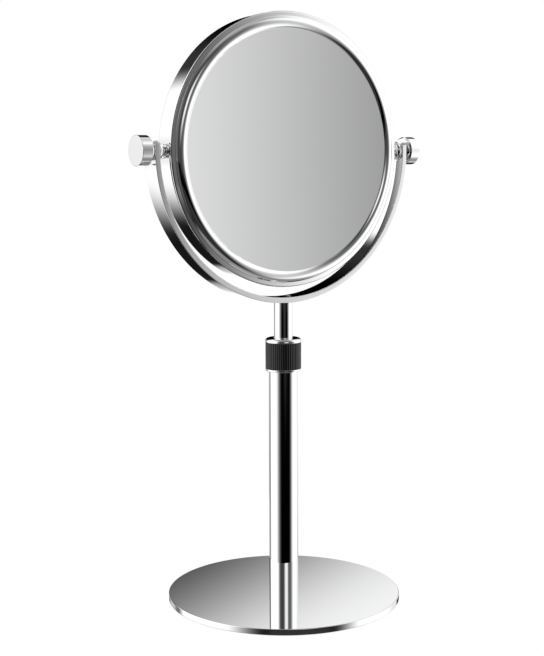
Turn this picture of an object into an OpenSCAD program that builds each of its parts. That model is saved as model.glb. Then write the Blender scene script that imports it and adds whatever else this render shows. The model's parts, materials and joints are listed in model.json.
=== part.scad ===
// Extendable shaving mirror on a round base, with a telescopic stem and a two-sided turning head.
// Origin: centre of the underside, where the mirror stands. +Z is up. The magnifying glass faces -Y,
// and the head turns about an axis along X. All sizes are in millimetres.

/* [Base] */
// Diameter of the round base plate
base_d = 160; // [120:1:200]
// Thickness of the base plate
base_th = 4.3; // [4:0.1:8]
// Thickness of the non-slip pad under the base
pad_th = 1.6; // [1.2:0.1:2]
// How far the pad stands proud of the base plate
pad_proud = 0.8; // [0.4:0.1:1]

/* [Stem] */
// Outer diameter of the tube
tube_d = 20; // [19:0.5:21]
// Length of tube that shows between the base and the clamp collar
tube_shown = 154.7; // [130:0.1:220]
// Diameter of the sliding rod
rod_d = 12.7; // [11:0.1:13]
// Length of rod that shows between the clamp collar and the yoke
rod_shown = 24.4; // [24:0.1:60]
// Diameter of the clamp collar at its grip band
collar_d = 24.4; // [24:0.1:30]
// Height of the clamp collar
collar_h = 22.5; // [22:0.1:30]

/* [Yoke] */
// Inner radius of the yoke's half circle
yoke_r = 98; // [97:0.5:99]
// Thickness of the yoke's flat bar
yoke_th = 3.7; // [3:0.1:4.5]
// Width of the yoke's flat bar
yoke_w = 14.3; // [13:0.1:20]
// How far the yoke's ends rise above the pivot axis
yoke_rise = 4; // [3.8:0.1:8]

/* [Head] */
// Radius of the glass that shows inside each bezel
glass_r = 79.6; // [78:0.1:80]
// Radius of the bezel's outer rim
bezel_r = 90.9; // [90.6:0.1:92]
// Outer radius of the head's side band
drum_r = 90.25; // [90:0.05:90.5]
// Height of the front glass in front of the pivot axis
glass_lead = 9.1; // [9:0.1:10]

/* [Knobs] */
// Diameter of each pivot knob
knob_d = 19.4; // [16:0.1:24]
// Length of each pivot knob
knob_l = 8.35; // [7:0.05:12]

/* [Hidden] */
$fn = 96;

run_gap = 0.08;       // radial clearance of a turning or sliding fit
face_gap = 0.1;       // gap between faces that turn against each other
lap = 1;              // how far a cutting shape passes the face that it cuts

// Base
edge_r = 0.5;         // rounding of the base plate's two edges
rim_w = 4;            // solid rim around the pad's recess
pad_hole_r = 13;      // hole in the pad that shows the screw
seat_r = 9;           // recess for the base washer
seat_depth = 1.5;
plate_top = pad_proud + base_th;

// Base screw and the plug that it pulls on
base_thread_r = 4;
base_head_r = 6.5;
base_head_h = 1.8;
base_washer_th = 0.8;
foot_plug_h = 14;
screw_seat = pad_th + seat_depth;

// Tube and clamp
tube_r = tube_d / 2;
tube_wall = 1.5;
tube_bore_r = tube_r - tube_wall;
rod_r = rod_d / 2;
guide_r = rod_r + run_gap;
collar_z = plate_top + tube_shown;
collar_top = collar_z + collar_h;
collar_r = collar_d / 2;
tube_top = collar_z + 7.2;
sleeve_below = 17;    // length of sleeve inside the tube
flange_h = 1.5;
sleeve_thread_r = tube_r - 0.7;
sleeve_top = tube_top + 9;
collet_seat_r = guide_r + 1.57;
collet_z = sleeve_top - 6;
collet_top = sleeve_top + 3.2;
collet_nose_r = guide_r + 0.55;
slit_w = 0.8;
shoulder_r = 2.4;     // rounding of the collar's top rim
top_rim_proud = 0.3;
bottom_rim_h = 1.5;
top_rim_h = 2.8;
band_depth = 0.9;
rod_clear = 0.4;      // free gap around the rod at the collar's mouth

// Rod
yoke_bottom = collar_top + rod_shown;
rod_foot = collar_top - 125.3;
rod_wall = 1.5;
rod_bore_r = rod_r - rod_wall;
plug_h = 14;
spigot_r = 4.5;
spigot_h = 10;
bush_h = 9.4;
bush_end_gap = 0.3;
bush_washer_r = 7.5;
bush_screw_r = 2;

// Yoke and head
yoke_out = yoke_r + yoke_th;
head_z = yoke_bottom + yoke_out;
screw_r = 2.5;        // radius of the yoke screw's thread
screw_head_r = 5.2;
screw_l = 14;
pivot_r = 2.5;
pivot_bore_r = pivot_r + run_gap;
spot_r = 7;           // flats that the pivot's washers bear on
spot_out = yoke_out - 0.2;
washer_th = 0.4;
knob_washer_r = 6.5;
knob_start = spot_out + 1.9;
knob_face = knob_start + knob_l;
knob_r = knob_d / 2;

// Depths in the head are measured forward of the pivot axis
drum_wall = 1;
drum_front = glass_lead - 3.9;
drum_back = -9.6;
drum_bore_r = drum_r - drum_wall;
glass_out_r = glass_r + 3.4;
hollow_glass_th = 2.5;
plain_glass_th = 3;
rear_lead = 8.6;      // face of the rear glass behind the pivot axis
curve_r = 1140;       // the front glass magnifies: its hollow face is part of a sphere
foam_th = 2;
roll_r = 4.8;         // the front bezel's round roll, from its steepest slope inside to the one outside
roll_in = 42;
roll_out = 48;
roll_crest_r = glass_r + 3.75;
roll_crest = glass_lead + 1.3;
flange_r = glass_r + 8.1;
flange_lead = glass_lead - 1.15;
flange_fall = 0.25;   // how far the flange slopes back to its rim
rim_fall = 0.4;
bezel_th = 1.7;
lip_w = 3.1;          // the rear bezel's lip
lip_rise = 0.7;
carrier_rim_w = 5;
carrier_rim = 4.1;    // front of the carrier's rim
carrier_web = 3.3;    // front of the carrier's web, just behind the hollow glass
web_th = 2;
centre_pocket_r = 18;
pocket_r = 24;
pocket_at = 50;

// Points of an arc, from angle a0 to angle a1, of a circle or an ellipse
function arc(cx, cy, rx, ry, a0, a1, n = 8) =
    [for (i = [0 : n]) let (a = a0 + (a1 - a0) * i / n) [cx + rx * cos(a), cy + ry * sin(a)]];

// Depth of a sphere's cap out to radius r
function sag(r) = curve_r - sqrt(pow(curve_r, 2) - pow(r, 2));

// Height of the hollow front glass's face at radius r; under the bezel its rim is flat
function hollow_face(r) = glass_lead - sag(glass_r) + sag(min(r, glass_r));

module ring(r_out, r_in, z0, z1) {
    translate([0, 0, z0]) difference() {
        cylinder(r = r_out, h = z1 - z0);
        translate([0, 0, -lap]) cylinder(r = r_in, h = z1 - z0 + 2 * lap);
    }
}

module rod_between(r, z0, z1) {
    translate([0, 0, z0]) cylinder(r = r, h = z1 - z0);
}

// Turns a shape built along +Z so that it lies along the pivot axis, on the side given by 1 or -1
module on_pivot(side) {
    translate([0, 0, head_z]) rotate([0, 90 * side, 0]) children();
}

// Turns a shape built along +Z so that it faces the front, centred in the head
module in_head() {
    translate([0, 0, head_z]) rotate([90, 0, 0]) children();
}

// ---- Base ----

module base_plate() {
    color("silver") rotate_extrude() polygon(concat(
        [[base_thread_r + 0.2, screw_seat], [seat_r, screw_seat], [seat_r, pad_th],
         [base_d / 2 - rim_w, pad_th], [base_d / 2 - rim_w, pad_proud]],
        arc(base_d / 2 - edge_r, pad_proud + edge_r, edge_r, edge_r, -90, 0, 4),
        arc(base_d / 2 - edge_r, plate_top - edge_r, edge_r, edge_r, 0, 90, 4),
        [[base_thread_r + 0.2, plate_top]]
    ));
}

module base_pad() {
    color("dimgray") ring(base_d / 2 - rim_w - 0.2, pad_hole_r, 0, pad_th);
}

module base_washer() {
    color("darkgray") ring(seat_r - 0.6, base_thread_r + 0.3, screw_seat - base_washer_th, screw_seat);
}

module base_screw() {
    head_top = screw_seat - base_washer_th;
    color("darkgray") difference() {
        union() {
            rod_between(base_head_r, head_top - base_head_h, head_top);
            rod_between(base_thread_r - 0.05, head_top, plate_top + foot_plug_h - 2);
        }
        translate([0, 0, head_top - base_head_h - lap]) cylinder(r = 2.9, h = 1.2 + lap, $fn = 6);
    }
}

// ---- Tube and clamp ----

module foot_plug() {
    color("darkgray") ring(tube_bore_r, base_thread_r, plate_top, plate_top + foot_plug_h);
}

module stem_tube() {
    color("silver") ring(tube_r, tube_bore_r, plate_top, tube_top);
}

module clamp_sleeve() {
    color("goldenrod") difference() {
        union() {
            rod_between(tube_bore_r, tube_top - sleeve_below, tube_top);
            rod_between(tube_r, tube_top, tube_top + flange_h);
            rod_between(sleeve_thread_r, tube_top + flange_h, sleeve_top);
        }
        rod_between(guide_r, tube_top - sleeve_below - lap, sleeve_top + lap);
        rod_between(collet_seat_r, collet_z, sleeve_top + lap);
    }
}

module collet() {
    color("ivory") difference() {
        rotate_extrude() polygon([
            [guide_r, collet_z], [collet_seat_r - 0.05, collet_z], [collet_seat_r - 0.05, sleeve_top],
            [collet_nose_r, collet_top], [guide_r, collet_top]
        ]);
        for (turn = [0, 90]) rotate([0, 0, turn])
            translate([-tube_r, -slit_w / 2, collet_z + 1.5]) cube([tube_d, slit_w, collet_top]);
    }
}

module collar_nut() {
    top_rim_r = collar_r + top_rim_proud;
    groove_r = collar_r - band_depth;
    color("silver") rotate_extrude() polygon(concat(
        [[tube_r + run_gap, collar_z], [collar_r - 0.4, collar_z], [collar_r, collar_z + 0.4],
         [collar_r, collar_z + bottom_rim_h], [groove_r, collar_z + bottom_rim_h],
         [groove_r, collar_top - top_rim_h], [top_rim_r, collar_top - top_rim_h]],
        arc(top_rim_r - shoulder_r, collar_top - shoulder_r, shoulder_r, shoulder_r, 0, 90),
        [[rod_r + rod_clear, collar_top], [rod_r + rod_clear, collar_top - top_rim_h],
         [sleeve_thread_r + run_gap, sleeve_top + 0.4], [sleeve_thread_r + run_gap, tube_top + flange_h + 0.3],
         [tube_r + run_gap, tube_top + flange_h + 0.3]]
    ));
}

module grip_band() {
    color("black")
        ring(collar_r, collar_r - band_depth, collar_z + bottom_rim_h, collar_top - top_rim_h);
}

// ---- Sliding rod ----

module guide_bush() {
    top = rod_foot - bush_end_gap;
    color("ivory") ring(tube_bore_r - run_gap, spigot_r + run_gap, top - bush_h, top);
}

// The rod's top is hollowed so that the round underside of the yoke sits on it
module inner_rod() {
    color("silver") difference() {
        rod_between(rod_r, rod_foot, yoke_bottom + lap);
        rod_between(rod_bore_r, rod_foot - lap, yoke_bottom + 2 * lap);
        in_head() cylinder(r = yoke_out, h = tube_d, center = true, $fn = 240);
    }
}

module rod_top_plug() {
    color("darkgray") ring(rod_bore_r, screw_r, yoke_bottom - plug_h, yoke_bottom);
}

module rod_foot_plug() {
    color("darkgray") difference() {
        union() {
            rod_between(rod_bore_r, rod_foot, rod_foot + plug_h);
            rod_between(spigot_r, rod_foot - spigot_h, rod_foot);
        }
        rod_between(bush_screw_r, rod_foot - spigot_h - lap, rod_foot + 2);
    }
}

module bush_washer() {
    top = rod_foot - spigot_h;
    color("darkgray") ring(bush_washer_r, bush_screw_r + 0.15, top - 1, top);
}

module bush_screw() {
    seat = rod_foot - spigot_h - 1;
    color("darkgray") difference() {
        union() {
            rod_between(3.5, seat - 2.6, seat);
            rod_between(bush_screw_r - 0.05, seat, rod_foot - 1);
        }
        translate([0, 0, seat - 2.6 - lap]) cylinder(r = 1.7, h = 1.4 + lap, $fn = 6);
    }
}

// ---- Yoke ----

module yoke() {
    floor_z = head_z - yoke_r;
    color("silver") difference() {
        in_head() linear_extrude(yoke_w, center = true, convexity = 4) difference() {
            circle(r = yoke_out, $fn = 240);
            circle(r = yoke_r, $fn = 240);
            translate([-yoke_out - lap, yoke_rise]) square([2 * (yoke_out + lap), yoke_out]);
        }
        for (side = [-1, 1]) on_pivot(side) {
            rod_between(pivot_bore_r, yoke_r - 5, yoke_out + lap);
            rod_between(spot_r, yoke_r - 5, yoke_r);
            rod_between(spot_r, spot_out, yoke_out + lap);
        }
        rod_between(screw_r + 0.15, yoke_bottom - lap, floor_z + lap);
        translate([0, 0, floor_z - 2.7]) cylinder(r1 = screw_r + 0.05, r2 = screw_head_r + 0.15, h = 2.8);
    }
}

module yoke_screw() {
    floor_z = head_z - yoke_r;
    color("silver") difference() {
        union() {
            translate([0, 0, floor_z - 2.7]) cylinder(r1 = screw_r - 0.1, r2 = screw_head_r, h = 2.7);
            rod_between(screw_r - 0.05, floor_z - screw_l, floor_z - 2.6);
        }
        translate([0, 0, floor_z - 1.6]) cylinder(r = 1.75, h = 1.6 + lap, $fn = 6);
    }
}

module friction_washers() {
    color("ivory") for (side = [-1, 1]) on_pivot(side)
        ring(6.2, pivot_r + 0.1, yoke_r - washer_th, yoke_r);
}

module knob_washers() {
    color("silver") for (side = [-1, 1]) on_pivot(side)
        ring(knob_washer_r, pivot_r + 0.1, spot_out, knob_start - face_gap);
}

// ---- Head ----

module head_drum() {
    color("silver") difference() {
        in_head() rotate_extrude($fn = 240) polygon(concat(
            [[drum_bore_r, drum_front], [drum_r, drum_front]],
            arc(drum_r - 1.2, drum_back + 1.2, 1.2, 1.2, 0, -90, 5),
            [[glass_out_r + 4, drum_back], [glass_out_r + 4, drum_back + 1], [drum_bore_r, drum_back + 1]]
        ));
        for (side = [-1, 1]) on_pivot(side) rod_between(pivot_r + 0.1, drum_r - 5, drum_r + lap);
    }
}

// A lip slopes down to the glass from a round roll, which steps down to a flange out to the rim
module front_bezel() {
    under = flange_lead - bezel_th;
    color("silver") difference() {
        in_head() rotate_extrude($fn = 240) polygon(concat(
            [[glass_r, glass_lead], [glass_r + 0.5, glass_lead + 0.05]],
            arc(roll_crest_r, roll_crest - roll_r, roll_r, roll_r, 90 + roll_in, 90 - roll_out),
            [[flange_r, flange_lead], [bezel_r - 0.8, flange_lead - flange_fall]],
            arc(bezel_r - 0.4, flange_lead - flange_fall - rim_fall - 0.3, 0.4, 0.4, 60, 0, 4),
            [[bezel_r, drum_front], [drum_bore_r - 0.05, drum_front], [drum_bore_r - 0.05, drum_front - 3],
             [drum_bore_r - 1.2, drum_front - 3], [drum_bore_r - 1.2, under], [glass_out_r + 0.1, under],
             [glass_out_r + 0.1, glass_lead]]
        ));
        for (side = [-1, 1]) on_pivot(side) rod_between(5.4, glass_out_r, drum_bore_r);
    }
}

module rear_bezel() {
    lip_r = glass_r + lip_w;
    outer = glass_out_r + 4 - 0.05;
    color("silver") in_head() rotate_extrude($fn = 240) polygon(concat(
        [[glass_r, -rear_lead]],
        arc(lip_r, -rear_lead, lip_w * 0.9, lip_rise, 210, 265, 4),
        [[outer - 0.3, -rear_lead - lip_rise], [outer, -rear_lead - lip_rise + 0.3], [outer, drum_back + 1.05],
         [drum_bore_r - 0.1, drum_back + 1.05], [drum_bore_r - 0.1, -5.2], [drum_bore_r - 1.2, -5.2],
         [drum_bore_r - 1.2, -7], [glass_out_r + 0.1, -7], [glass_out_r + 0.1, -rear_lead]]
    ));
}

module front_mirror() {
    steps = 16;
    radii = concat([for (i = [0 : steps]) glass_r * i / steps], [glass_out_r]);
    face = [for (r = radii) [r, hollow_face(r)]];
    back = [for (i = [steps + 1 : -1 : 0]) [radii[i], hollow_face(radii[i]) - hollow_glass_th]];
    color("lightsteelblue") in_head() rotate_extrude() polygon(concat(face, back));
}

module rear_mirror() {
    color("lightsteelblue") in_head() rod_between(glass_out_r, -rear_lead, plain_glass_th - rear_lead);
}

// A ring between the carrier's rim and the flat rim of the hollow glass
module front_foam() {
    color("dimgray") in_head()
        ring(glass_out_r - 0.5, glass_r + 0.1, carrier_rim, glass_lead - hollow_glass_th);
}

module rear_foam() {
    back = plain_glass_th - rear_lead;
    color("dimgray") in_head() rod_between(glass_out_r - 0.5, back, back + foam_th);
}

// A moulded disc with a rim in front of it and round pockets behind, which keep it light
module core_carrier() {
    back = plain_glass_th - rear_lead + foam_th;
    pocket_top = carrier_web - web_th;
    color("white") in_head() difference() {
        rod_between(glass_out_r, back, carrier_rim);
        rod_between(glass_out_r - carrier_rim_w, carrier_web, carrier_rim + lap);
        rod_between(centre_pocket_r, back - lap, pocket_top);
        for (turn = [0 : 60 : 300]) rotate([0, 0, turn])
            translate([pocket_at, 0, 0]) rod_between(pocket_r, back - lap, pocket_top);
    }
}

// ---- Pivots and knobs ----

// A turned stud: boss on the drum, neck, domed collar against the yoke, and the shank that takes the knob
module pivot_stud() {
    collar_end = yoke_r - washer_th - face_gap;
    rotate_extrude() polygon(concat(
        [[0, drum_r - 6], [pivot_r, drum_r - 6], [pivot_r, drum_r], [5, drum_r]],
        arc(4.5, drum_r + 1.6, 0.5, 0.5, 0, 90, 3),
        [[3.6, drum_r + 2.1], [3.6, drum_r + 4.2]],
        arc(4.15, drum_r + 6.4, 2.2, 2.2, -90, 0, 6),
        [[6.35, collar_end - 0.3], [6.05, collar_end], [pivot_r, collar_end],
         [pivot_r, knob_start + 5.2], [0, knob_start + 5.2]]
    ));
}

module left_pivot() {
    color("silver") on_pivot(-1) pivot_stud();
}

module right_pivot() {
    color("silver") on_pivot(1) pivot_stud();
}

module pivot_nuts() {
    color("darkgray") for (side = [-1, 1]) on_pivot(side) difference() {
        translate([0, 0, drum_bore_r - 4.2]) cylinder(r = 4.62, h = 4, $fn = 6);
        rod_between(pivot_r, drum_r - 8, drum_r);
    }
}

module knob() {
    rotate_extrude() polygon(concat(
        [[pivot_r + run_gap, knob_start], [knob_r - 1, knob_start], [knob_r, knob_start + 1]],
        arc(knob_r - 0.4, knob_face - 0.4, 0.4, 0.4, 0, 90, 4),
        [[0, knob_face], [0, knob_start + 5.8], [pivot_r + run_gap, knob_start + 5.8]]
    ));
}

module left_knob() {
    color("silver") on_pivot(-1) knob();
}

module right_knob() {
    color("silver") on_pivot(1) knob();
}

base_plate();
base_pad();
base_washer();
base_screw();
foot_plug();
stem_tube();
clamp_sleeve();
collet();
collar_nut();
grip_band();
guide_bush();
inner_rod();
rod_top_plug();
rod_foot_plug();
bush_washer();
bush_screw();
yoke();
yoke_screw();
friction_washers();
knob_washers();
head_drum();
front_bezel();
rear_bezel();
front_mirror();
rear_mirror();
front_foam();
rear_foam();
core_carrier();
left_pivot();
right_pivot();
pivot_nuts();
left_knob();
right_knob();
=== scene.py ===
import json
import math
import bmesh
import bpy
from mathutils import Matrix, Vector


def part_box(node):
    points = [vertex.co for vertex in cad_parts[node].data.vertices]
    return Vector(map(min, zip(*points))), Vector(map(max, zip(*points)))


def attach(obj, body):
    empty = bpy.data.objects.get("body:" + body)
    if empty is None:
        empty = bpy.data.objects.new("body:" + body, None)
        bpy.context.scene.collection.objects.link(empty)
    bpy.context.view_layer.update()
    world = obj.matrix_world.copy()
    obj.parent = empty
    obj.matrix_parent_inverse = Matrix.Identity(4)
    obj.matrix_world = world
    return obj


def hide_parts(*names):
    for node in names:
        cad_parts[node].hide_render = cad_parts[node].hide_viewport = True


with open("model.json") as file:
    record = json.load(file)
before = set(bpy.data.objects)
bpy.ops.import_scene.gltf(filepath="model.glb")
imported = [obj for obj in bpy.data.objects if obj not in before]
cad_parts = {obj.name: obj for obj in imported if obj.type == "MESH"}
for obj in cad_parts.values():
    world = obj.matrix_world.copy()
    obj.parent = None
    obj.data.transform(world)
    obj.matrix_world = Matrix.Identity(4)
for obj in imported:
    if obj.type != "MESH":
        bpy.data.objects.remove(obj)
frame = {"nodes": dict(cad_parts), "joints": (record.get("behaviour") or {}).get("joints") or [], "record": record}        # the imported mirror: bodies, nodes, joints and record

mm = 0.001
scene = bpy.context.scene
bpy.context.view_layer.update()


# Places are read from the frame, in millimetres

def low(node):
    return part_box(node)[0] / mm


def high(node):
    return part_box(node)[1] / mm


def span(node):
    # outer radius, bottom and top of a piece that stands round the stem
    return high(node).x, low(node).z, high(node).z


def reach(node):
    # nearest and furthest distance of a side piece from the head's centre
    ends = sorted((abs(low(node).x), abs(high(node).x)))
    return ends[0], ends[1]


pivot = Vector(next(j["pos_m"] for j in frame["joints"] if j["name"] == "head_tilt"))
axisZ = pivot.z / mm

# Where an outline's heights point: up, forward from the head, or out along the pivot axis
onStem = Matrix()
inHead = Matrix.Translation(pivot) @ Matrix.Rotation(math.pi / 2, 4, "X")


def onPivot(side):
    return Matrix.Translation(pivot) @ Matrix.Rotation(side * math.pi / 2, 4, "Y")


shot = {
    "distance": 0.8968,      # metres from the stem
    "height": 0.3036,        # metres
    "azimuth": -34.85,       # degrees round the stem, from the front
    "pan": -0.49,            # degrees off the stem
    "tilt": -7.29,
    "roll": -0.18,
    "lens": 72.9,
    "sensor": 36,
    "clip": (0.01, 50),
}


def setCamera():
    camera = bpy.data.objects.new("shotCamera", bpy.data.cameras.new("shotCamera"))
    scene.collection.objects.link(camera)
    aim = math.radians(shot["azimuth"])
    stand = Vector((math.sin(aim), -math.cos(aim), 0)) * shot["distance"]
    stand.z = shot["height"]
    camera.matrix_world = (
        Matrix.Translation(stand)
        @ Matrix.Rotation(aim - math.radians(shot["pan"]), 4, "Z")
        @ Matrix.Rotation(math.radians(90 + shot["tilt"]), 4, "X")
        @ Matrix.Rotation(math.radians(shot["roll"]), 4, "Z")
    )
    camera.data.lens = shot["lens"]
    camera.data.sensor_width = shot["sensor"]
    camera.data.clip_start, camera.data.clip_end = shot["clip"]
    scene.camera = camera


setCamera()
print("camera set")


# How pieces are made

onAxis = 1e-7        # metres from the axis within which a point is on it
sameSpot = 1e-6      # metres apart at which two points become one
past = 1             # how far a cutting shape stands past the face that it cuts


def rounded(corners, steps=6):
    # corners are (radius, height) or (radius, height, rounding), and each rounding becomes an arc
    outline = []
    for i, corner in enumerate(corners):
        here = Vector(corner[:2])
        if len(corner) == 2:
            outline.append(here)
            continue
        before = (Vector(corners[i - 1][:2]) - here).normalized()
        after = (Vector(corners[(i + 1) % len(corners)][:2]) - here).normalized()
        half = before.angle(after) / 2
        middle = here + (before + after).normalized() * corner[2] / math.sin(half)
        start = here + before * corner[2] / math.tan(half) - middle
        end = here + after * corner[2] / math.tan(half) - middle
        sweep = start.angle_signed(end)
        for k in range(steps + 1):
            outline.append(middle + Matrix.Rotation(-sweep * k / steps, 2) @ start)
    return outline


def arc(radius, height, size, start, end, steps):
    # points of an arc about (radius, height), from one angle in degrees to another
    angles = [math.radians(start + (end - start) * k / steps) for k in range(steps + 1)]
    return [(radius + size * math.cos(a), height + size * math.sin(a)) for a in angles]


def turn(shape, corners, place=onStem, steps=192, arcSteps=6):
    # spins an outline round its axis, into a closed solid
    outline = rounded(corners, arcSteps)
    before = set(shape.verts)
    ring = [shape.verts.new((p.x * mm, 0, p.y * mm)) for p in outline]
    sides = []
    for a, b in zip(ring, ring[1:] + ring[:1]):
        if max(a.co.x, b.co.x) > onAxis:      # the axis itself is no side
            sides.append(shape.edges.new((a, b)))
    bmesh.ops.spin(shape, geom=ring + sides, axis=(0, 0, 1), cent=(0, 0, 0), dvec=(0, 0, 0),
                   angle=2 * math.pi, steps=steps, use_merge=True, use_duplicate=False)
    spun = [v for v in shape.verts if v not in before]
    bmesh.ops.remove_doubles(shape, verts=spun, dist=sameSpot)
    spun = [v for v in shape.verts if v not in before]
    bmesh.ops.transform(shape, matrix=place, verts=spun)
    bmesh.ops.recalc_face_normals(shape, faces=list({f for v in spun for f in v.link_faces}))
    return shape


def keyShape(size, bottom, top):
    # a hexagon key, for cutting a socket in the head of a screw on the stem's axis
    shape = bmesh.new()
    middle = Matrix.Translation((0, 0, (top + bottom) * mm / 2))
    bmesh.ops.create_cone(shape, cap_ends=True, cap_tris=False, segments=6, radius1=size * mm,
                          radius2=size * mm, depth=(top - bottom) * mm, matrix=middle)
    return shape


def cut(shape, tool):
    # takes the tool's shape out of a shape
    solids = []
    for part in (shape, tool):
        mesh = bpy.data.meshes.new("uncut")
        part.to_mesh(mesh)
        part.free()
        solid = bpy.data.objects.new("uncut", mesh)
        scene.collection.objects.link(solid)
        solids.append(solid)
    boolean = solids[0].modifiers.new("cut", "BOOLEAN")
    boolean.operation = "DIFFERENCE"
    boolean.solver = "EXACT"
    boolean.object = solids[1]
    result = bmesh.new()
    result.from_object(solids[0], bpy.context.evaluated_depsgraph_get())
    for solid in solids:
        bpy.data.meshes.remove(solid.data)
    return result


def placed(name, shape):
    # makes an object of a shape, and leaves it in the scene
    mesh = bpy.data.meshes.new(name)
    shape.to_mesh(mesh)
    shape.free()
    piece = bpy.data.objects.new(name, mesh)
    scene.collection.objects.link(piece)
    return piece


def finished(name, shape, hardFrom=30):
    # smooth faces, with hard edges only where two faces meet at more than hardFrom degrees
    for face in shape.faces:
        face.smooth = True
    for edge in shape.edges:
        edge.smooth = edge.calc_face_angle(0) < math.radians(hardFrom)
    piece = placed(name, shape)
    weighted = piece.modifiers.new("flatFacesStayFlat", "WEIGHTED_NORMAL")
    weighted.keep_sharp = True
    return piece


def turned(name, corners, place=onStem, steps=192, arcSteps=6):
    return finished(name, turn(bmesh.new(), corners, place, steps, arcSteps))


# The base

plate = {"edge": 0.5, "rim": 4, "recessEdge": 0.2, "seatR": 9, "seatTop": 3.1, "bore": 4.2}


def makeBasePlate():
    p = plate
    radius, bottom, top = span("base_plate")
    padTop = high("base_pad").z
    return turned("basePlate", [
        (p["bore"], p["seatTop"]), (p["seatR"], p["seatTop"]), (p["seatR"], padTop, p["recessEdge"]),
        (radius - p["rim"], padTop), (radius - p["rim"], bottom, p["recessEdge"]),
        (radius, bottom, p["edge"]), (radius, top, p["edge"]), (p["bore"], top),
    ], steps=256)


pad = {
    "hole": 13, "edge": 0.3,
    "grooves": 3, "grooveAt": 26, "grooveGap": 22, "grooveWide": 1.6, "grooveDeep": 0.5, "grooveSlope": 0.2,
}


def makeBasePad():
    p = pad
    radius, bottom, top = span("base_pad")
    underside = [(p["hole"], bottom, p["edge"])]
    for k in range(p["grooves"]):        # ring grooves that let the pad grip
        start = p["grooveAt"] + k * p["grooveGap"]
        end = start + p["grooveWide"]
        roof = bottom + p["grooveDeep"]
        underside += [(start, bottom), (start + p["grooveSlope"], roof),
                      (end - p["grooveSlope"], roof), (end, bottom)]
    return turned("basePad", underside + [(radius, bottom, p["edge"]), (radius, top), (p["hole"], top)])


baseScrew = {
    "thread": 3.95, "tipEdge": 0.6, "head": 6.5, "headTop": 2.3, "edge": 0.35, "key": 2.9, "keyDeep": 1.2,
}


def makeBaseScrew():
    s = baseScrew
    bottom, top = low("base_screw").z, high("base_screw").z
    shape = turn(bmesh.new(), [
        (0, bottom), (s["head"], bottom, s["edge"]), (s["head"], s["headTop"]), (s["thread"], s["headTop"]),
        (s["thread"], top, s["tipEdge"]), (0, top),
    ], steps=96)
    return finished("baseScrew", cut(shape, keyShape(s["key"], bottom - past, bottom + s["keyDeep"])))


baseWasher = {"bore": 4.3, "edge": 0.2}


def makeBaseWasher():
    w = baseWasher
    radius, bottom, top = span("base_washer")
    return turned("baseWasher", [
        (w["bore"], bottom), (radius, bottom, w["edge"]), (radius, top), (w["bore"], top),
    ], steps=96)


# The stem and its clamp

tube = {"wall": 1.5, "edge": 0.3}


def makeStemTube():
    radius, bottom, top = span("stem_tube")
    bore = radius - tube["wall"]
    return turned("stemTube", [
        (bore, bottom), (radius, bottom), (radius, top, tube["edge"]), (bore, top),
    ], steps=256)


collar = {
    "bandDeep": 0.9, "topRim": 2.8, "bottomRim": 1.5, "shoulder": 2.4, "edge": 0.25, "footEdge": 0.4,
    "mouthGap": 0.4, "mouthEdge": 0.35, "threadR": 9.38, "tubeGap": 0.08, "threadFoot": 9, "threadHead": 16.6,
}


def makeCollarNut():
    c = collar
    rimR, bottom, top = span("collar_nut")
    bandR = high("grip_band").x
    grooveR = bandR - c["bandDeep"]
    tubeR = high("stem_tube").x + c["tubeGap"]
    mouthR = high("inner_rod").x + c["mouthGap"]
    return turned("collarNut", [
        (tubeR, bottom), (bandR, bottom, c["footEdge"]), (bandR, bottom + c["bottomRim"], c["edge"]),
        (grooveR, bottom + c["bottomRim"]), (grooveR, top - c["topRim"]),
        (rimR, top - c["topRim"], c["edge"]), (rimR, top, c["shoulder"]),
        (mouthR, top, c["mouthEdge"]), (mouthR, top - c["topRim"]),
        (c["threadR"], bottom + c["threadHead"]), (c["threadR"], bottom + c["threadFoot"]),
        (tubeR, bottom + c["threadFoot"]),
    ], arcSteps=8)


band = {"ribs": 54, "ribDeep": 0.24, "pointsPerRib": 8, "edge": 0.3, "hardFrom": 60}


def makeGripBand():
    b = band
    radius, bottom, top = span("grip_band")
    inner = radius - collar["bandDeep"]
    shape = turn(bmesh.new(), [
        (inner, bottom), (radius, bottom, b["edge"]), (radius, top, b["edge"]), (inner, top),
    ], steps=b["ribs"] * b["pointsPerRib"], arcSteps=4)
    for v in shape.verts:        # fine upright ribs, deepest at the outer face
        outward = (v.co.xy.length / mm - inner) / collar["bandDeep"]
        valley = (1 - math.cos(b["ribs"] * math.atan2(v.co.y, v.co.x))) / 2
        v.co.xy *= 1 - valley * outward * b["ribDeep"] / radius
    return finished("gripBand", shape, b["hardFrom"])


rod = {"wall": 1.5, "footEdge": 0.3, "overlap": 1, "saddleHalf": 15}


def makeInnerRod():
    # its top is hollowed, so that the round underside of the yoke sits on it
    r = rod
    radius, bottom = high("inner_rod").x, low("inner_rod").z
    bore, top = radius - r["wall"], low("yoke").z + r["overlap"]
    shape = turn(bmesh.new(), [(bore, bottom), (radius, bottom, r["footEdge"]), (radius, top), (bore, top)])
    saddleR, half = high("yoke").x, r["saddleHalf"]
    saddle = turn(bmesh.new(), [(0, -half), (saddleR, -half), (saddleR, half), (0, half)], inHead, 360)
    return finished("innerRod", cut(shape, saddle))


# The yoke

yoke = {
    "thick": 3.7, "edge": 0.35, "steps": 180, "bore": 2.58, "spotR": 7, "spotDeep": 0.2, "spotReach": 5,
    "screwBore": 2.65, "sinkR": 5.35, "sinkDeep": 2.7,
}


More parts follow.
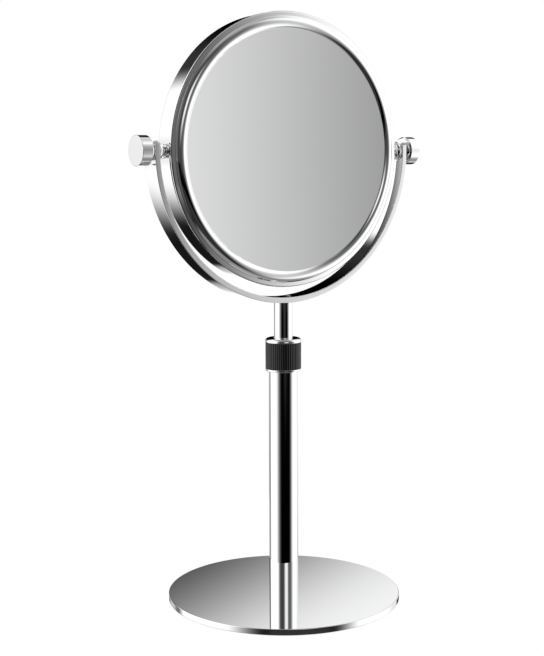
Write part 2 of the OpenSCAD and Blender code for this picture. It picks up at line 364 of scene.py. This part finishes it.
def makeYoke():
    y = yoke
    outer, half = high("yoke").x, high("yoke").y
    inner = outer - y["thick"]
    over = math.asin((high("yoke").z - axisZ) / outer)      # how far past the half circle each end goes
    shape = bmesh.new()
    corners = [(inner, -half), (outer, -half), (outer, half), (inner, half)]
    section = rounded([(across, along, y["edge"]) for across, along in corners], 4)
    ring = [shape.verts.new((p.x * mm, p.y * mm, 0)) for p in section]
    end = shape.faces.new(ring)
    bmesh.ops.spin(shape, geom=[end] + ring + list(end.edges), axis=(0, 1, 0), cent=(0, 0, 0), dvec=(0, 0, 0),
                   angle=math.pi + 2 * over, steps=y["steps"], use_merge=False, use_duplicate=False)
    bmesh.ops.remove_doubles(shape, verts=shape.verts, dist=sameSpot)
    bmesh.ops.rotate(shape, verts=shape.verts, cent=(0, 0, 0), matrix=Matrix.Rotation(-over, 3, "Y"))
    bmesh.ops.translate(shape, verts=shape.verts, vec=pivot)
    bmesh.ops.recalc_face_normals(shape, faces=shape.faces)
    holes = bmesh.new()
    for side in (-1, 1):        # a bore for the pivot, between two shallow flat seats
        turn(holes, [
            (0, inner - y["spotReach"]), (y["spotR"], inner - y["spotReach"]), (y["spotR"], inner),
            (y["bore"], inner), (y["bore"], outer - y["spotDeep"]), (y["spotR"], outer - y["spotDeep"]),
            (y["spotR"], outer + past), (0, outer + past),
        ], onPivot(side), 96)
    bottom, floor = low("yoke").z, axisZ - inner
    turn(holes, [
        (0, bottom - past), (y["screwBore"], bottom - past), (y["screwBore"], floor - y["sinkDeep"]),
        (y["sinkR"], floor), (y["sinkR"], floor + past), (0, floor + past),
    ], onStem, 96)
    return finished("yokeBar", cut(shape, holes))


yokeScrew = {
    "thread": 2.45, "tipEdge": 0.5, "head": 5.2, "sink": 2.6, "brim": 0.1, "key": 1.75, "keyDeep": 1.6,
}


def makeYokeScrew():
    s = yokeScrew
    bottom, top = low("yoke_screw").z, high("yoke_screw").z
    shape = turn(bmesh.new(), [
        (0, bottom), (s["thread"], bottom, s["tipEdge"]), (s["thread"], top - s["sink"]),
        (s["head"], top - s["brim"]), (s["head"] - s["brim"], top), (0, top),
    ], steps=96)
    return finished("yokeScrew", cut(shape, keyShape(s["key"], top - s["keyDeep"], top + past)))


# The head: heights in these outlines point forward from the pivot axis

glass = {
    "lap": 3.4, "play": 0.1, "radius": 1140, "hollowThick": 2.5, "plainThick": 3, "rings": 32,
    "lastRing": 0.05, "edge": 0.25,
}
glassR = high("front_mirror").x - glass["lap"]      # radius of the glass that shows
glassBore = glassR + glass["lap"] + glass["play"]   # room for the whole glass
glassFront = -low("front_mirror").y
glassRear = -high("rear_mirror").y


def makeFrontMirror():
    # hollow, so that it magnifies: its face is part of a large sphere, with a flat rim under the bezel
    g = glass
    outer = high("front_mirror").x
    radii = [glassR * k / g["rings"] for k in range(g["rings"])] + [glassR - g["lastRing"], glassR]
    fromCentre = math.sqrt(g["radius"] ** 2 - glassR ** 2)
    hollow = [(r, glassFront - math.sqrt(g["radius"] ** 2 - r ** 2) + fromCentre) for r in radii]
    back = [(r, height - g["hollowThick"]) for r, height in reversed(hollow)]
    rim = [(outer, glassFront, g["edge"]), (outer, glassFront - g["hollowThick"], g["edge"])]
    return turned("frontMirror", hollow + rim + back, inHead, 256, 3)


def makeRearMirror():
    outer, g = high("rear_mirror").x, glass
    return turned("rearMirror", [
        (0, glassRear), (outer, glassRear, g["edge"]), (outer, glassRear + g["plainThick"], g["edge"]),
        (0, glassRear + g["plainThick"]),
    ], inHead, 256, 3)


drum = {
    "wall": 1, "backEdge": 1.2, "lipEdge": 0.2, "backLap": 7.4, "pivotHole": 2.6, "holeReach": 3,
    "ringWall": 1.2,
}
drumR = high("head_drum").x
drumBore = drumR - drum["wall"]
ringBore = drumBore - drum["ringWall"]      # inside of the rings that fit in the drum


def makeHeadDrum():
    d = drum
    front, back = -low("head_drum").y, -high("head_drum").y
    shelf = glassR + d["backLap"]
    shape = turn(bmesh.new(), [
        (drumBore, front), (drumR, front), (drumR, back, d["backEdge"]), (shelf, back, d["lipEdge"]),
        (shelf, back + d["wall"]), (drumBore, back + d["wall"]),
    ], inHead, 256, 8)
    holes = bmesh.new()
    near, far = drumBore - d["holeReach"], drumR + past
    for side in (-1, 1):
        turn(holes, [(0, near), (d["pivotHole"], near), (d["pivotHole"], far), (0, far)], onPivot(side), 64)
    return finished("headDrum", cut(shape, holes))


# The front bezel, from the glass outwards: a lip, a round roll, a flange and a soft rim

bezel = {
    "lipStart": 0.5, "lipRise": 0.05, "lipEdge": 0.1,
    "rollSize": 4.8, "rollIn": 42, "rollOut": 48, "crestAt": 3.75, "crestRise": 1.3, "rollSteps": 24,
    "flangeAt": 8.1, "flangeDrop": 1.15, "flangeFall": 0.25, "flangeEdge": 0.5,
    "rimIn": 0.8, "rimSoft": 0.3, "rimFall": 0.4, "shoulderIn": 0.25, "shoulderEdge": 0.2,
    "spigot": 3, "spigotGap": 0.05, "seatEdge": 0.1, "thick": 1.7, "nutGap": 5.4,
}


def makeFrontBezel():
    b = bezel
    radius, seat = high("front_bezel").x, -low("head_drum").y
    flange = glassFront - b["flangeDrop"]
    rim = flange - b["flangeFall"]
    spigotR = drumBore - b["spigotGap"]
    roll = arc(glassR + b["crestAt"], glassFront + b["crestRise"] - b["rollSize"], b["rollSize"],
               90 + b["rollIn"], 90 - b["rollOut"], b["rollSteps"])
    shape = turn(bmesh.new(), [
        (glassR, glassFront), (glassR + b["lipStart"], glassFront + b["lipRise"], b["lipEdge"]), *roll,
        (glassR + b["flangeAt"], flange, b["flangeEdge"]), (radius - b["rimIn"], rim, b["rimSoft"]),
        (radius - b["shoulderIn"], rim - b["rimFall"], b["shoulderEdge"]),
        (radius, rim - b["rimIn"], b["rimSoft"]), (radius, seat, b["seatEdge"]),
        (spigotR, seat), (spigotR, seat - b["spigot"]), (ringBore, seat - b["spigot"]),
        (ringBore, flange - b["thick"]), (glassBore, flange - b["thick"]), (glassBore, glassFront),
    ], inHead, 256, 5)
    gaps = bmesh.new()
    gap = [(0, glassR), (b["nutGap"], glassR), (b["nutGap"], drumBore), (0, drumBore)]
    for side in (-1, 1):        # room for the nuts of the pivots
        turn(gaps, gap, onPivot(side), 64)
    return finished("frontBezel", cut(shape, gaps))


rearLip = {
    "lipStart": 0.5, "lipRise": 0.1, "width": 3.1, "rise": 0.7, "roll": 2.5, "edge": 0.3,
    "shelfGap": 0.05, "drumGap": 0.1, "clip": 7, "clipFront": 5.2,
}


def makeRearBezel():
    r = rearLip
    shelf = -high("head_drum").y + drum["wall"] + r["shelfGap"]
    outer = glassR + drum["backLap"] - r["shelfGap"]
    crest = glassRear - r["rise"]
    clipR = drumBore - r["drumGap"]
    return turned("rearBezel", [
        (glassR, glassRear), (glassR + r["lipStart"], glassRear - r["lipRise"]),
        (glassR + r["width"], crest, r["roll"]), (outer, crest, r["edge"]), (outer, shelf), (clipR, shelf),
        (clipR, -r["clipFront"]), (ringBore, -r["clipFront"]), (ringBore, -r["clip"]),
        (glassBore, -r["clip"]), (glassBore, glassRear),
    ], inHead, 256, 5)


# The pivots and their knobs: heights point outwards from the head's centre

stud = {
    "shank": 2.5, "boss": 5, "bossHigh": 2.1, "bossEdge": 0.5, "neck": 3.6, "neckEnd": 4.2,
    "collar": 6.35, "dome": 2.2, "washerGap": 0.5, "edge": 0.3,
}


def makePivot(name, node, side):
    s = stud
    near, far = reach(node)
    collarEnd = high("yoke").x - yoke["thick"] - s["washerGap"]
    return turned(name, [
        (0, near), (s["shank"], near, s["edge"]), (s["shank"], drumR), (s["boss"], drumR),
        (s["boss"], drumR + s["bossHigh"], s["bossEdge"]), (s["neck"], drumR + s["bossHigh"]),
        (s["neck"], drumR + s["neckEnd"]), (s["collar"], drumR + s["neckEnd"], s["dome"]),
        (s["collar"], collarEnd, s["edge"]), (s["shank"], collarEnd), (s["shank"], far, s["edge"]), (0, far),
    ], onPivot(side), 96)


knob = {"foot": 1, "footEdge": 0.15, "edge": 0.4, "bore": 2.58, "boreDeep": 5.8}


def makeKnob(name, node, side):
    k = knob
    near, far = reach(node)
    radius = high(node).y
    return turned(name, [
        (k["bore"], near), (radius - k["foot"], near, k["footEdge"]),
        (radius, near + k["foot"], k["footEdge"]), (radius, far, k["edge"]), (0, far),
        (0, near + k["boreDeep"]), (k["bore"], near + k["boreDeep"]),
    ], onPivot(side), 128)


knobWasher = {"radius": 6.5, "bore": 2.6, "edge": 0.3}


def makeKnobWashers():
    w = knobWasher
    near, far = high("yoke").x - yoke["spotDeep"], high("knob_washers").x
    shape = bmesh.new()
    for side in (-1, 1):
        turn(shape, [(w["bore"], near), (w["radius"], near), (w["radius"], far, w["edge"]), (w["bore"], far)],
             onPivot(side), 96)
    return finished("knobWashers", shape)


pieces = [
    (makeBasePlate(), "base", "base_plate", "chrome"),
    (makeBasePad(), "base", "base_pad", "rubber_pad"),
    (makeBaseScrew(), "base", "base_screw", "zinc_steel"),
    (makeBaseWasher(), "base", "base_washer", "zinc_steel"),
    (makeStemTube(), "base", "stem_tube", "chrome"),
    (makeCollarNut(), "collar", "collar_nut", "chrome"),
    (makeGripBand(), "collar", "grip_band", "black_grip"),
    (makeInnerRod(), "mast", "inner_rod", "chrome"),
    (makeYoke(), "mast", "yoke", "chrome"),
    (makeYokeScrew(), "mast", "yoke_screw", "chrome"),
    (makeKnobWashers(), "mast", "knob_washers", "chrome"),
    (makeHeadDrum(), "head", "head_drum", "chrome"),
    (makeFrontBezel(), "head", "front_bezel", "chrome"),
    (makeRearBezel(), "head", "rear_bezel", "chrome"),
    (makeFrontMirror(), "head", "front_mirror", "mirror_glass"),
    (makeRearMirror(), "head", "rear_mirror", "mirror_glass"),
    (makePivot("leftPivot", "left_pivot", -1), "head", "left_pivot", "chrome"),
    (makePivot("rightPivot", "right_pivot", 1), "head", "right_pivot", "chrome"),
    (makeKnob("leftKnob", "left_knob", -1), "left_knob", "left_knob", "chrome"),
    (makeKnob("rightKnob", "right_knob", 1), "right_knob", "right_knob", "chrome"),
]
for piece, body, node, slot in pieces:
    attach(piece, body)
    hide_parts(node)
print("pieces made:", len(pieces))


# Finishes

class Wire:
    def __init__(self, finish, socket):
        self.finish, self.socket = finish, socket

    def __add__(self, other):
        return self.finish.calc("ADD", self, other)

    def __sub__(self, other):
        return self.finish.calc("SUBTRACT", self, other)

    def __rsub__(self, other):
        return self.finish.calc("SUBTRACT", other, self)

    def __mul__(self, other):
        return self.finish.calc("MULTIPLY", self, other)

    def __pow__(self, other):
        return self.finish.calc("POWER", self, other)

    __radd__, __rmul__ = __add__, __mul__


class Finish:
    def __init__(self, tree):
        self.tree = tree
        tree.nodes.clear()

    def add(self, kind, settings, inputs):
        added = self.tree.nodes.new(kind)
        for key, value in (settings or {}).items():
            setattr(added, key, value)
        for key, value in (inputs or {}).items():
            if isinstance(value, Wire):
                self.tree.links.new(value.socket, added.inputs[key])
            else:
                added.inputs[key].default_value = value
        return added

    def node(self, kind, settings=None, inputs=None, output=0):
        return Wire(self, self.add(kind, settings, inputs).outputs[output])

    def calc(self, operation, *values):
        return self.node("ShaderNodeMath", {"operation": operation}, dict(enumerate(values)))

    def split(self, vector):
        apart = self.add("ShaderNodeSeparateXYZ", None, {0: vector})
        return [Wire(self, socket) for socket in apart.outputs]

    def place(self):
        return self.node("ShaderNodeTexCoord", output="Object")

    def noise(self, size, detail=2, stretch=None):
        # a soft 0 to 1 pattern with marks of about the given size in millimetres
        at = self.place()
        if stretch:
            at = self.node("ShaderNodeMapping", None, {"Vector": at, "Scale": stretch})
        return self.node("ShaderNodeTexNoise", None, {
            "Vector": at, "Scale": 1 / (size * mm), "Detail": detail})

    def fade(self, value, start, end):
        # 0 before the start, 1 past the end, and smooth between
        return self.node("ShaderNodeMapRange", {"interpolation_type": "SMOOTHSTEP"}, {
            "Value": value, "From Min": start, "From Max": end})

    def between(self, value, edges, softness):
        # 1 between two edges and 0 outside them, with each edge softened to both sides
        (start, end), (startSoft, endSoft) = edges, softness
        inside = self.fade(value, start - startSoft, start + startSoft)
        return inside * (1 - self.fade(value, end - endSoft, end + endSoft))

    def bump(self, height, depth):
        return self.node("ShaderNodeBump", None, {"Height": height, "Distance": depth * mm, "Strength": 1.0})

    def blend(self, factor, first, second):
        return self.node("ShaderNodeMix", {"data_type": "RGBA"}, {"Factor": factor, 6: first, 7: second}, 2)


def newSurface(name, build):
    # build makes a surface of nodes
    material = bpy.data.materials.new(name)
    material.use_nodes = True
    f = Finish(material.node_tree)
    f.add("ShaderNodeOutputMaterial", None, {"Surface": build(f)})
    return material


def newMaterial(name, build):
    # build gives the sockets of one Principled shader
    return newSurface(name, lambda f: f.node("ShaderNodeBsdfPrincipled", None, build(f)))


def polishedChrome(f):
    # bright plating with the faintest haze where it has been wiped
    haze = f.fade(f.noise(22, 3), 0.45, 0.75)
    return {"Base Color": (0.93, 0.932, 0.936, 1), "Metallic": 1.0, "Roughness": 0.012 + haze * 0.02}


def silveredGlass(f):
    haze = f.fade(f.noise(35, 3), 0.5, 0.8)
    return {"Base Color": (0.9, 0.905, 0.905, 1), "Metallic": 1.0, "Roughness": haze * 0.012,
            "Coat Weight": 1.0, "Coat Roughness": 0.0}


def glossyBlack(f):
    # lacquered black with fine dust marks
    marks = f.noise(1.4, 4)
    return {"Base Color": (0.006, 0.006, 0.007, 1), "Roughness": 0.05 + marks * 0.06, "IOR": 1.52,
            "Normal": f.bump(f.noise(6, 1), 0.01)}


def blackRubber(f):
    grain = f.noise(0.5, 3)
    dust = f.fade(f.noise(16, 4), 0.45, 0.8)
    return {"Base Color": f.blend(dust, (0.018, 0.018, 0.019, 1), (0.05, 0.049, 0.047, 1)),
            "Roughness": 0.68 + dust * 0.2, "Normal": f.bump(grain, 0.08)}


def zincSteel(f):
    cloud = f.noise(5, 3)
    lines = f.noise(0.3, 2)
    return {"Base Color": f.blend(cloud, (0.52, 0.53, 0.55, 1), (0.66, 0.65, 0.6, 1)), "Metallic": 1.0,
            "Roughness": 0.28 + lines * 0.2, "Normal": f.bump(lines, 0.01)}


def turnedBrass(f):
    # fine lathe marks run round the stem, over cloudy patches of duller metal
    lathe = f.noise(0.25, 2, (0.02, 0.02, 1))
    dull = f.noise(4, 3)
    return {"Base Color": f.blend(dull, (0.74, 0.55, 0.24, 1), (0.6, 0.43, 0.2, 1)), "Metallic": 1.0,
            "Roughness": 0.2 + lathe * 0.15, "Normal": f.bump(lathe, 0.01)}


def naturalNylon(f):
    mottle = f.noise(3, 3)
    return {"Base Color": f.blend(mottle, (0.82, 0.8, 0.73, 1), (0.88, 0.87, 0.82, 1)),
            "Roughness": 0.35 + mottle * 0.15,
            "Subsurface Weight": 0.15, "Subsurface Radius": (0.6, 0.5, 0.4), "Subsurface Scale": 0.002}


def whitePlastic(f):
    grain = f.noise(0.6, 3)
    return {"Base Color": (0.84, 0.84, 0.83, 1), "Roughness": 0.45 + grain * 0.15,
            "Normal": f.bump(grain, 0.03)}


def greyFoam(f):
    cells = f.noise(0.8, 4)
    return {"Base Color": f.blend(cells, (0.12, 0.12, 0.13, 1), (0.26, 0.26, 0.27, 1)), "Roughness": 0.95,
            "Normal": f.bump(cells, 0.3)}


finishes = {
    "chrome": newMaterial("polishedChrome", polishedChrome),
    "mirror_glass": newMaterial("silveredGlass", silveredGlass),
    "black_grip": newMaterial("glossyBlack", glossyBlack),
    "rubber_pad": newMaterial("blackRubber", blackRubber),
    "zinc_steel": newMaterial("zincSteel", zincSteel),
    "brass": newMaterial("turnedBrass", turnedBrass),
    "nylon": newMaterial("naturalNylon", naturalNylon),
    "white_plastic": newMaterial("whitePlastic", whitePlastic),
    "foam": newMaterial("greyFoam", greyFoam),
}
for piece, body, node, slot in pieces:
    piece.data.materials.append(finishes[slot])
for part in frame["record"]["subparts"]:
    cadPiece = frame["nodes"][part["node"]]
    cadPiece.data.materials.clear()
    cadPiece.data.materials.append(finishes[part["material_slot"]])
print("finishes:", len(finishes))


# The studio: soft-edged panels on a far sphere, which the chrome reflects

studio = {
    "room": 1.01, "gain": 1.12, "gamma": 2.2,
    # Each has a tone from 0 black to 1 white, azimuths and their softness, and heights and their softness.
    # Azimuth goes round the stem in degrees: 0 behind, 90 right, 180 in front. Later panels cover earlier.
    "panels": {
        "ceiling": (0.65, (0, 360), (0, 0), (58, 100), (14, 1)),
        "ground": (0.51, (0, 360), (0, 0), (-100, -42), (1, 10)),
        "paleWallRight": (0.88, (42, 84), (10, 12), (-48, 44), (8, 10)),
        "greyWallFront": (0.38, (146.3, 248), (14.7, 16), (-5, 62), (2, 20)),
        "greyWallDarkHalf": (0.26, (174, 246), (9, 16), (-5, 56), (2, 18)),
        "darkFloorFront": (0.03, (153, 251), (21, 27), (-50, -5), (6, 2)),
        "stepOnFloor": (0.23, (186, 212), (14, 14), (-10, -4), (4, 3)),
        "floorPatch": (0.2, (166, 232), (8, 8), (-50, -19.3), (6, 0.6)),
        "window": (0.94, (180, 208), (8, 9), (7, 31), (8, 8)),
        "postHigh": (0.16, (34, 57), (2, 3), (5, 52), (5, 6)),
        "postLow": (0.16, (34, 62), (2, 3), (-56, -16), (6, 4)),
        "doorLeft": (0.91, (324, 338), (3, 3), (-6, 6), (3, 3)),
        "screenBehind": (0.2, (347, 399), (7, 2), (-5, 43), (2, 5)),
        "screenDarkEnd": (0.03, (374, 399), (16, 2), (-5, 41), (2, 5)),
        "screenFoot": (0.11, (340, 382), (9, 2), (-42, 0), (6, 3)),
        "curtainBehind": (0.74, (347, 375), (12, 9), (-25, 12), (5, 8)),
    },
}


def setStudio():
    world = bpy.data.worlds.new("studio")
    scene.world = world
    world.use_nodes = True
    f = Finish(world.node_tree)
    x, y, z = f.split(f.node("ShaderNodeTexCoord", output="Generated"))
    azimuth = f.calc("ARCTAN2", x, y) * math.degrees(1)
    height = f.calc("ARCSINE", z) * math.degrees(1)
    tone = studio["room"]
    for level, azimuths, azimuthSoft, heights, heightSoft in studio["panels"].values():
        mask = f.between(height, heights, heightSoft)
        left, right = azimuths
        if right - left < 360:
            aside = f.calc("WRAP", azimuth - (left + right) / 2, 180, -180)
            half = (right - left) / 2
            mask = mask * f.between(aside, (-half, half), azimuthSoft)
        tone = tone * (1 - mask) + mask * level
    light = tone ** studio["gamma"] * studio["gain"]
    seen = f.node("ShaderNodeLightPath", output="Is Camera Ray")
    strength = light * (1 - seen) + seen        # plain white behind the mirror
    back = f.node("ShaderNodeBackground", None, {"Color": (1, 1, 1, 1), "Strength": strength})
    f.add("ShaderNodeOutputWorld", None, {"Surface": back})
    scene.view_settings.view_transform = "Standard"


setStudio()
print("studio set")


# A shaded card stands low behind the stem, for the base plate to mirror, and only reflections show it

baseCard = {
    "azimuth": 35, "behind": 200, "halfWidth": 125, "bottom": 8, "top": 150,
    "sideSoft": 12.5, "bottomSoft": 9, "topSoft": 12.5,
    "middleAt": 72, "tone": 0.745, "perSide": 0.0036, "perHeight": 0.0062,
    "darkest": 0.3, "brightest": 0.94, "ease": 0.45,
}
cardTurn = math.radians(baseCard["azimuth"])
cardRight = Vector((math.cos(cardTurn), -math.sin(cardTurn), 0))


def cardGlow(f):
    # lighter to the right and upwards, clear at its edges
    c = baseCard
    x, y, z = f.split(f.place())
    aside = (x * cardRight.x + y * cardRight.y) * (1 / mm)
    height = z * (1 / mm)
    level = aside * c["perSide"] + (height - c["middleAt"]) * c["perHeight"] + c["tone"]
    level = f.calc("SMOOTH_MIN", f.calc("MAXIMUM", level, c["darkest"]), c["brightest"], c["ease"])
    side = c["halfWidth"] - c["sideSoft"]
    inside = f.between(aside, (-side, side), (c["sideSoft"], c["sideSoft"])) * f.between(
        height, (c["bottom"] + c["bottomSoft"], c["top"] - c["topSoft"]), (c["bottomSoft"], c["topSoft"]))
    glow = f.node("ShaderNodeEmission", None, {
        "Color": (1, 1, 1, 1), "Strength": level ** studio["gamma"] * studio["gain"]})
    clear = f.node("ShaderNodeBsdfTransparent")
    return f.node("ShaderNodeMixShader", None, {0: inside, 1: clear, 2: glow})


def makeBaseCard():
    c = baseCard
    middle = Vector((math.sin(cardTurn), math.cos(cardTurn), 0)) * c["behind"]
    shape = bmesh.new()
    corners = []
    for side, height in ((-1, c["bottom"]), (1, c["bottom"]), (1, c["top"]), (-1, c["top"])):
        corner = middle + cardRight * side * c["halfWidth"] + Vector((0, 0, height))
        corners.append(shape.verts.new(corner * mm))
    shape.faces.new(corners)
    card = placed("baseCard", shape)
    card.visible_camera = False
    card.visible_diffuse = False
    card.visible_shadow = False
    card.visible_transmission = False
    card.visible_volume_scatter = False
    card.data.materials.append(newSurface("baseCard", cardGlow))


floor = {"size": 4, "glow": 0.97}


def paleFloor(f):
    return {"Base Color": (0.06, 0.06, 0.06, 1), "Roughness": 1.0, "Specular IOR Level": 0.0,
            "Emission Color": (1, 1, 1, 1), "Emission Strength": floor["glow"]}


def makeFloor():
    shape = bmesh.new()
    bmesh.ops.create_grid(shape, x_segments=1, y_segments=1, size=floor["size"])
    sheet = placed("paleFloor", shape)
    sheet.visible_glossy = False
    sheet.data.materials.append(newMaterial("paleFloor", paleFloor))


makeBaseCard()
makeFloor()
print("floor and card laid")
